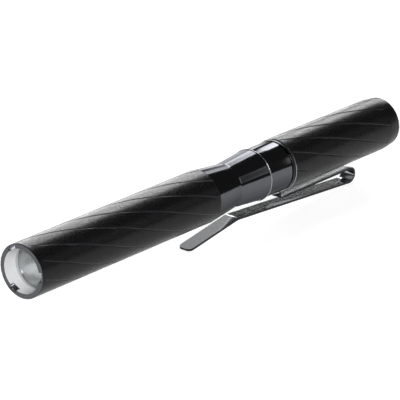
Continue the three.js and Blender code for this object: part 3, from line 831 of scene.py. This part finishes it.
bm = bmesh.new()
clamp_outer = first_ring(bm, CLIP_RING_STATION, CLIP_RING_R)
next_ring(bm, clamp_outer, radius=CLIP_RING_INNER_R / CLIP_RING_R)
end = [e for e in clamp_outer if all(abs(around(v) + 90) < CLIP_ROOT_HALF_ANGLE for v in e.verts)]
root_width = 2 * max(v.co.y for e in end for v in e.verts)
end = draw_strip(bm, end, CLIP_RING_STATION, LEG_Z + ROOT_BEND_R, CLIP_WIDTH / root_width)
for i in range(1, ROOT_BEND_STEPS + 1):
    angle = math.pi + math.pi / 2 * i / ROOT_BEND_STEPS
    end = draw_strip(
        bm, end, CLIP_RING_STATION + ROOT_BEND_R + ROOT_BEND_R * math.cos(angle),
        LEG_Z + ROOT_BEND_R + ROOT_BEND_R * math.sin(angle),
    )
for i in range(BEND_STEPS + 1):
    angle = math.pi / 2 - math.pi * i / BEND_STEPS
    end = draw_strip(
        bm, end, BEND_STATION + BEND_R * math.cos(angle), LEG_Z - BEND_R + BEND_R * math.sin(angle)
    )
end = draw_strip(bm, end, ARM_STATION, clip_floor)
for reach in (2 * FOLD_HALF_LENGTH, FOLD_HALF_LENGTH):
    end = draw_strip(bm, end, fold[0] + reach * math.cos(ARM_RISE), fold[1] - reach * math.sin(ARM_RISE))
end = draw_strip(bm, end, fold[0], fold[1] - FOLD_HALF_LENGTH * math.sin((ARM_RISE + tip_fall) / 2) / 2)
for reach in (FOLD_HALF_LENGTH, 2 * FOLD_HALF_LENGTH):
    end = draw_strip(bm, end, fold[0] - reach * math.cos(tip_fall), fold[1] - reach * math.sin(tip_fall))
width = 1.0
for i in range(TIP_CORNER_STEPS + 1):
    angle = math.pi / 2 * i / TIP_CORNER_STEPS
    reach = TIP_LENGTH - TIP_CORNER + TIP_CORNER * math.sin(angle)
    narrowed = 1 - 2 * (TIP_CORNER - TIP_CORNER * math.cos(angle)) / CLIP_WIDTH
    end = draw_strip(
        bm, end, fold[0] - reach * math.cos(tip_fall), fold[1] - reach * math.sin(tip_fall), narrowed / width
    )
    width = narrowed
bmesh.ops.recalc_face_normals(bm, faces=bm.faces)

# Spring steel, tumbled: a soft grey mirror with fine rubbed streaks along the strip, 0.3 mm wide.
spring_steel = finish(
    "spring_steel_tumbled", (SPRING_STEEL,), grain=0.3, gloss=(0.085, 0.105), stretch=(0.05, 1, 1),
    detail=3.0, relief=0.02, Metallic=1.0,
)

# Sheared edge of the strip: the same steel, dull, torn along its thickness at 0.1 mm, and coloured near black
# as painted shade.
# The tear marks are drawn at 0.6 mm, which is as fine as shows.
sheared_edge_painted_shade = finish(
    "spring_steel_sheared_painted_shade", (SHEARED_STEEL_PAINTED_SHADE, SHEARED_TONE_PAINTED_SHADE), grain=0.6, gloss=(0.28, 0.36), Metallic=1.0
)

pocket_clip = make_piece("pocket_clip", bm, spring_steel, sheared_edge_painted_shade)
sheet = pocket_clip.modifiers.new("sheet_thickness", "SOLIDIFY")
sheet.thickness, sheet.offset, sheet.use_even_offset = CLIP_SHEET * MM, 0, True
# The sheet's rims take the edge finish, which carries painted shade.
sheet.material_offset_rim = 1
eased = pocket_clip.modifiers.new("tumbled_edges", "BEVEL")
eased.width, eased.segments, eased.limit_method = CLIP_EASE * MM, 2, "ANGLE"
eased.angle_limit, eased.harden_normals = math.radians(50), True
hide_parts("clip_base", "clip_arm")
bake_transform(pocket_clip)


# Rear cell: the same kind of cell, laid in the coupler's bore behind the first, button to disc.
# The tail spring presses on its flat end when the tail is screwed home.
REAR_CELL_START = 71.3
second_cell = cell("second_cell", REAR_CELL_START, plated_steel, film_jacket)
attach(second_cell, "front")
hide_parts("rear_cell")


# Tail tube: turned, engraved and anodised like the barrel, with a tapered end and a hole for the button.
# It screws onto the coupler's rear spigot and holds the switch.
TAIL_START = 95.1
TAIL_END = 138.5
TAIL_LINE_ANGLE = 3
TAIL_BAND = 134.4
TAIL_TAPER_START = 134.6
TAIL_END_R = 6.55
TAIL_EDGE_R = 0.4
TAIL_EDGE_STEPS = 6
TAIL_MOUTH_EASE = 0.12
TAIL_MOUTH_LEAN = 0.2
TAIL_HOLE_R = 3.75
END_WALL_START = 136.1
THREAD_END = 102.8
SEAL_SEAT_R = 6.75
SEAL_SEAT_END = 96.15
bm = bmesh.new()
mouth = first_ring(bm, TAIL_START, TUBE_R)
outer = engraved_wall(bm, mouth, TAIL_BAND - TAIL_START, TAIL_LINE_ANGLE)
outer = next_ring(bm, outer, TAIL_TAPER_START - TAIL_BAND)
outer = next_ring(bm, outer, TAIL_END - TAIL_TAPER_START, TAIL_END_R / TUBE_R)
outer = next_ring(bm, outer, radius=TAIL_HOLE_R / TAIL_END_R)
outer = next_ring(bm, outer, END_WALL_START - TAIL_END)
inner = next_ring(bm, mouth, radius=SEAL_SEAT_R / TUBE_R)
inner = next_ring(bm, inner, SEAL_SEAT_END - TAIL_START)
inner = next_ring(bm, inner, radius=BORE_R / SEAL_SEAT_R)
inner = next_ring(bm, inner, THREAD_END - SEAL_SEAT_END)
inner = next_ring(bm, inner, radius=CELL_BORE_R / BORE_R)
inner = next_ring(bm, inner, END_WALL_START - THREAD_END)
bmesh.ops.bridge_loops(bm, edges=outer + inner)
bmesh.ops.recalc_face_normals(bm, faces=bm.faces)
for face in bm.faces:
    centre = face.calc_center_median()
    if math.hypot(*centre.yz) < BORE_R + NEAR and centre.x > -TAIL_END + NEAR:
        face.material_index = 1
    elif in_line(face):
        face.material_index = 2
ease_edges(
    bm, TAIL_EDGE_R, segments=TAIL_EDGE_STEPS,
    within=lambda e: all(
        v.co.x < -TAIL_END + NEAR and math.hypot(*v.co.yz) > TAIL_END_R - NEAR for v in e.verts
    ),
)
ease_edges(bm, TAIL_MOUTH_EASE, within=lambda e: all(v.co.x > -TAIL_START - NEAR for v in e.verts))
for face in bm.faces:
    centre = face.calc_center_median()
    in_mouth = centre.x > -TAIL_START - TAIL_MOUTH_EASE and math.hypot(*centre.yz) > SEAL_SEAT_R
    if in_mouth and face.normal.x > TAIL_MOUTH_LEAN:
        face.material_index = 3
tail = make_piece("tail", bm, black_anodised, bare_aluminium, engraved_line, milled_aluminium)
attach(tail, "tail")
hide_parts("tail_tube")


# Tail seal: a black rubber ring of round section, squeezed in the tail's mouth against the clip's ring.
# It keeps water out of the thread and comes away with the tail.
SEAL_STATION = 95.6
SEAL_R = 6.4
SEAL_SECTION_R = 0.2
SEAL_HALF_LENGTH = 0.5
SEAL_STEPS = 12
RUBBER = "#17171a"
RUBBER_BLOOM = "#2a2a2d"
outline = [
    (
        SEAL_STATION + SEAL_HALF_LENGTH * math.cos(2 * math.pi * i / SEAL_STEPS),
        SEAL_R + SEAL_SECTION_R * math.sin(2 * math.pi * i / SEAL_STEPS),
    )
    for i in range(SEAL_STEPS)
]

# Nitrile rubber: black and dull, with a dusty bloom in patches of 1 mm.
nitrile = finish(
    "nitrile_rubber_moulded", (RUBBER, RUBBER_BLOOM), grain=1.0, gloss=(0.575, 0.675), detail=5.0, IOR=1.52
)

tail_seal = make_piece("tail_seal", turned(outline, TUBE_SIDES), nitrile)
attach(tail_seal, "tail_seal")
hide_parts("tail_seal_ring")


# Button seal: a flat rubber ring laid on the end wall inside the tail, under the button's flange.
# It keeps water out of the switch and stops the button softly when it comes back.
BUTTON_SEAL = ((135.25, 3.75), (135.25, 5.0), (136.05, 5.0), (136.05, 3.75))
BUTTON_SEAL_EASE = 0.2
button_seal = make_piece("button_cushion", turned(BUTTON_SEAL, SEAT_SIDES, ease=BUTTON_SEAL_EASE), nitrile)
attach(button_seal, "tail")
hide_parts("button_seal")


# Push button: turned from aluminium and anodised like the tail, with two grip rings cut in its dished end.
# It slides in the end wall's hole, held by the flange behind it, and presses on the switch's plunger.
BUTTON_FLANGE_R = 5.0
BUTTON_R = 3.6
BUTTON_FRONT = 134.2
BUTTON_STEP = 135.2
BUTTON_END = 139.9
BUTTON_EDGE_R = 0.9
BUTTON_DISH = 0.25
BUTTON_RINGS = (1.5, 2.3)
BUTTON_RING_WIDTH = 0.25
BUTTON_RING_DEPTH = 0.15
BUTTON_STEPS = 6
cap = [
    (
        BUTTON_END - BUTTON_EDGE_R + BUTTON_EDGE_R * math.sin(math.pi / 2 * i / BUTTON_STEPS),
        BUTTON_R - BUTTON_EDGE_R + BUTTON_EDGE_R * math.cos(math.pi / 2 * i / BUTTON_STEPS),
    )
    for i in range(BUTTON_STEPS + 1)
]
for radius in reversed(BUTTON_RINGS):
    cap += [
        (BUTTON_END, radius + BUTTON_RING_WIDTH),
        (BUTTON_END - BUTTON_RING_DEPTH, radius + BUTTON_RING_WIDTH / 2),
        (BUTTON_END - BUTTON_RING_DEPTH, radius - BUTTON_RING_WIDTH / 2),
        (BUTTON_END, radius - BUTTON_RING_WIDTH),
    ]
outline = [
    (BUTTON_FRONT, 0), (BUTTON_FRONT, BUTTON_FLANGE_R), (BUTTON_STEP, BUTTON_FLANGE_R),
    (BUTTON_STEP, BUTTON_R), *cap, (BUTTON_END - BUTTON_DISH, 0),
]
button = make_piece("button", turned(outline, SEAT_SIDES, closed=False), black_anodised)
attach(button, "button")
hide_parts("tail_button")


# Switch plunger: a small pin turned from white acetal, with a groove for the switch's catch.
# The button pushes it into the switch, and a spring inside the switch pushes it out again.
PLUNGER_START = 129.35
PLUNGER_END = 134.15
PLUNGER_R = 1.5
PLUNGER_GROOVE = (130.9, 131.5)
PLUNGER_GROOVE_R = 1.25
PLUNGER_EASE = 0.2
ACETAL = "#e8e8e4"
ACETAL_SHADE = "#dedfda"
outline = (
    (PLUNGER_START, 0), (PLUNGER_START, PLUNGER_R), (PLUNGER_GROOVE[0], PLUNGER_R),
    (PLUNGER_GROOVE[0], PLUNGER_GROOVE_R), (PLUNGER_GROOVE[1], PLUNGER_GROOVE_R),
    (PLUNGER_GROOVE[1], PLUNGER_R), (PLUNGER_END, PLUNGER_R), (PLUNGER_END, 0),
)

# Acetal: milky white and slick, with faint tool rings 0.3 mm apart.
acetal = finish(
    "white_acetal_turned", (ACETAL, ACETAL_SHADE), grain=0.3, gloss=(0.25, 0.4), stretch=ALONG_TUBE
)

plunger = make_piece("plunger", turned(outline, SEAT_SIDES // 2, closed=False, ease=PLUNGER_EASE), acetal)
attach(plunger, "button")
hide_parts("switch_plunger")


# Switch: a round click switch in a housing moulded in two halves, pushed into the tail behind the button.
# The halves meet at a groove, and a collar guides the plunger.
SWITCH_START = 123.55
SWITCH_END = 130.55
SWITCH_R = 5.3
SWITCH_HOLE_R = 1.65
SWITCH_HOLE_FLOOR = 128.1
SWITCH_COLLAR_R = 2.9
SWITCH_COLLAR = 0.5
SWITCH_GROOVE = (126.4, 126.8)
SWITCH_GROOVE_DEPTH = 0.2
SWITCH_EASE = 0.15
outline = (
    (SWITCH_START, 0), (SWITCH_START, SWITCH_R), (SWITCH_GROOVE[0], SWITCH_R),
    (SWITCH_GROOVE[0], SWITCH_R - SWITCH_GROOVE_DEPTH), (SWITCH_GROOVE[1], SWITCH_R - SWITCH_GROOVE_DEPTH),
    (SWITCH_GROOVE[1], SWITCH_R), (SWITCH_END - SWITCH_COLLAR, SWITCH_R),
    (SWITCH_END - SWITCH_COLLAR, SWITCH_COLLAR_R), (SWITCH_END, SWITCH_COLLAR_R), (SWITCH_END, SWITCH_HOLE_R),
    (SWITCH_HOLE_FLOOR, SWITCH_HOLE_R), (SWITCH_HOLE_FLOOR, 0),
)
switch = make_piece("switch", turned(outline, SEAT_SIDES, closed=False, ease=SWITCH_EASE), black_plastic)
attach(switch, "tail")
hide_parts("switch_body")


# Spring plate: a disc of glass laminate that closes the switch's front, white with a tinned pad.
# The tail spring stands on the pad, which a track joins to the switch.
PLATE_FRONT = 122.5
PLATE_BACK = 123.5
PLATE_R = 5.3
PLATE_PAD_R = 3.4
bm = turned(
    (
        (PLATE_FRONT, 0), (PLATE_FRONT, PLATE_PAD_R),
        (PLATE_FRONT + BOARD_LACQUER, PLATE_PAD_R + BOARD_LACQUER),
        (PLATE_FRONT + BOARD_LACQUER, PLATE_R), (PLATE_BACK, PLATE_R), (PLATE_BACK, 0),
    ),
    SEAT_SIDES, closed=False, ease=BOARD_LACQUER / 2,
)
for face in bm.faces:
    if face.calc_center_median().x > -PLATE_FRONT - BOARD_LACQUER / 3:
        face.material_index = 1
plate = make_piece("plate", bm, white_lacquer, tinned)
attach(plate, "tail")
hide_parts("spring_plate")


# Retaining ring: a brass ring, turned and slotted across its front for a spanner.
# It screws into the tail and holds the plate and the switch against the tail's end.
RING_START = 120.45
RING_END = 122.45
RING_R = 5.3
RING_HOLE_R = 3.6
RING_SLOT_DEPTH = 0.6
RING_SLOT_HALF_ANGLE = 8
RING_SLOT_ANGLES = (0, 180)
RING_EASE = 0.1
bm = bmesh.new()
outer = first_ring(bm, RING_START + RING_SLOT_DEPTH, RING_R)
inner = next_ring(bm, outer, radius=RING_HOLE_R / RING_R)
teeth = {f for e in inner for f in e.link_faces if not in_slot(f, RING_SLOT_ANGLES, RING_SLOT_HALF_ANGLE)}
outer = next_ring(bm, outer, RING_END - RING_START - RING_SLOT_DEPTH)
inner = next_ring(bm, inner, RING_END - RING_START - RING_SLOT_DEPTH)
bmesh.ops.bridge_loops(bm, edges=outer + inner)
teeth = bmesh.ops.extrude_face_region(bm, geom=list(teeth))["geom"]
bmesh.ops.translate(
    bm, verts=[v for v in teeth if isinstance(v, bmesh.types.BMVert)], vec=(RING_SLOT_DEPTH, 0, 0)
)
bmesh.ops.recalc_face_normals(bm, faces=bm.faces)
ease_edges(bm, RING_EASE)
retaining_ring = make_piece("retaining_ring", bm, brass)
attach(retaining_ring, "tail")
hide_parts("switch_retaining_ring")


# Tail spring: a coil of the same plated wire, soldered to the plate inside the retaining ring.
# It presses both cells forward on to the front spring.
TAIL_SPRING = (115.85, 122.45)
TAIL_SPRING_R = (2.62, 2.9)
TAIL_SPRING_TURNS = 5
rear_spring = make_piece("rear_spring", coil(TAIL_SPRING, TAIL_SPRING_R, TAIL_SPRING_TURNS), plated_wire)
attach(rear_spring, "tail")
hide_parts("tail_spring")


# Floor, light and camera: a white paper sweep that curves up behind, under a row of softboxes overhead.
# Cards behind and beside the tubes draw the other bands along them, and a wide card lights the bore.
SWEEP_REACH = 2.4
SWEEP_TURN_R = 0.5
SWEEP_HEIGHT = 0.9
SWEEP_STEPS = 12
PAPER = "#e4e4e4"
PAPER_GLOW = 0.64
bm = bmesh.new()
verts = [bm.verts.new((-SWEEP_REACH, y, 0)) for y in (SWEEP_REACH, -SWEEP_REACH)]
edges = [bm.edges.new(verts)]
for i in range(1, SWEEP_STEPS + 1):
    angle = math.pi / 2 * i / SWEEP_STEPS
    lift = SWEEP_TURN_R - SWEEP_TURN_R * math.cos(angle)
    verts.append(bm.verts.new((-SWEEP_REACH, -SWEEP_REACH - SWEEP_TURN_R * math.sin(angle), lift)))
    edges.append(bm.edges.new(verts[-2:]))
verts.append(bm.verts.new((-SWEEP_REACH, -SWEEP_REACH - SWEEP_TURN_R, SWEEP_HEIGHT)))
edges.append(bm.edges.new(verts[-2:]))
made = bmesh.ops.extrude_edge_only(bm, edges=edges)["geom"]
bmesh.ops.translate(
    bm, verts=[v for v in made if isinstance(v, bmesh.types.BMVert)], vec=(2 * SWEEP_REACH, 0, 0)
)
bmesh.ops.recalc_face_normals(bm, faces=bm.faces)
mesh = bpy.data.meshes.new("sweep")
bm.to_mesh(mesh)
bm.free()
mesh.shade_smooth()
sweep = bpy.data.objects.new("sweep", mesh)
bpy.context.scene.collection.objects.link(sweep)

# White paper: it shows white to the eye and in metal and glass, and keeps the object's shadow.
white_paper = new_material("white_paper_uncoated")
light_path = node(white_paper, "LightPath", {})
seen = node(
    white_paper, "Math",
    {0: light_path.outputs["Is Camera Ray"], 1: light_path.outputs["Is Glossy Ray"]}, operation="MAXIMUM",
).outputs[0]
seen = node(
    white_paper, "Math", {0: seen, 1: light_path.outputs["Is Transmission Ray"]}, operation="MAXIMUM"
).outputs[0]
glow = node(white_paper, "Math", {0: seen, 1: PAPER_GLOW}, operation="MULTIPLY").outputs[0]
paper = node(
    white_paper, "BsdfPrincipled",
    {
        "Base Color": linear(PAPER), "Roughness": 0.9, "Emission Color": linear("#ffffff"),
        "Emission Strength": glow,
    },
).outputs["BSDF"]
node(white_paper, "OutputMaterial", {"Surface": paper})
mesh.materials.append(white_paper)


def softbox(name, place, aim_x, size, radiance):
    """A rectangular soft light of a given brightness that faces a point on the tube's axis."""
    lamp = bpy.data.lights.new(name, "AREA")
    lamp.shape = "RECTANGLE"
    lamp.size, lamp.size_y = size
    lamp.energy = radiance * math.pi * size[0] * size[1]
    light = bpy.data.objects.new(name, lamp)
    light.rotation_mode = "QUATERNION"
    light.rotation_quaternion = (Vector((aim_x, 0, AXIS_Z * MM)) - Vector(place)).to_track_quat("-Z", "Y")
    light.location = place
    bpy.context.scene.collection.objects.link(light)


softbox("overhead_softbox", (-1.045, -0.636, 0.784), -1.045, (0.41, 0.592), radiance=11.0)
softbox("overhead_far", (-1.65, -0.80, 0.60), -1.65, (0.75, 0.80), radiance=4.8)
softbox("overhead_mid", (-0.785, -0.636, 0.784), -0.785, (0.11, 0.592), radiance=2.4)
softbox("overhead_near", (-0.55, -0.636, 0.784), -0.55, (0.34, 0.592), radiance=0.5)
softbox("rear_card", (-0.61, -0.81, 0.27), -0.61, (0.58, 0.53), radiance=5.4)
softbox("rear_low", (-0.955, -0.81, 0.125), -0.955, (0.11, 0.22), radiance=7.0)
softbox("side_card", (-0.83, 0.79, 0.42), -0.83, (0.3, 0.46), radiance=1.0)
softbox("front_card", (1.15, 0.9, 0.62), 0.07, (0.7, 0.7), radiance=15.0)

STUDIO_GREY = "#c8c8c8"
STUDIO_GLOW = 0.1
world = bpy.data.worlds.new("studio")
world.use_nodes = True
world.node_tree.nodes["Background"].inputs["Color"].default_value = linear(STUDIO_GREY)
world.node_tree.nodes["Background"].inputs["Strength"].default_value = STUDIO_GLOW
bpy.context.scene.world = world
bpy.context.scene.view_settings.view_transform = "Standard"

# The camera stands where the outlines of the barrel, the rim and the tail fit the photograph.
CAMERA_PLACE = (0.67270, 0.57564, 0.35398)
CAMERA_RIGHT = (-0.65274, 0.75758, 0)
CAMERA_UP = (-0.27411, -0.23618, 0.93225)
CAMERA_BACK = (0.70625, 0.60852, 0.36182)
CAMERA_LENS = 338.9
CAMERA_SENSOR = 36
CAMERA_REACH = (0.01, 20)
camera_data = bpy.data.cameras.new("camera")
camera_data.lens = CAMERA_LENS
camera_data.sensor_width = CAMERA_SENSOR
camera_data.clip_start, camera_data.clip_end = CAMERA_REACH
camera = bpy.data.objects.new("camera", camera_data)
axes = zip(CAMERA_RIGHT, CAMERA_UP, CAMERA_BACK, CAMERA_PLACE)
camera.matrix_world = Matrix([*axes, (0, 0, 0, 1)])
bpy.context.scene.collection.objects.link(camera)
bpy.context.scene.camera = camera
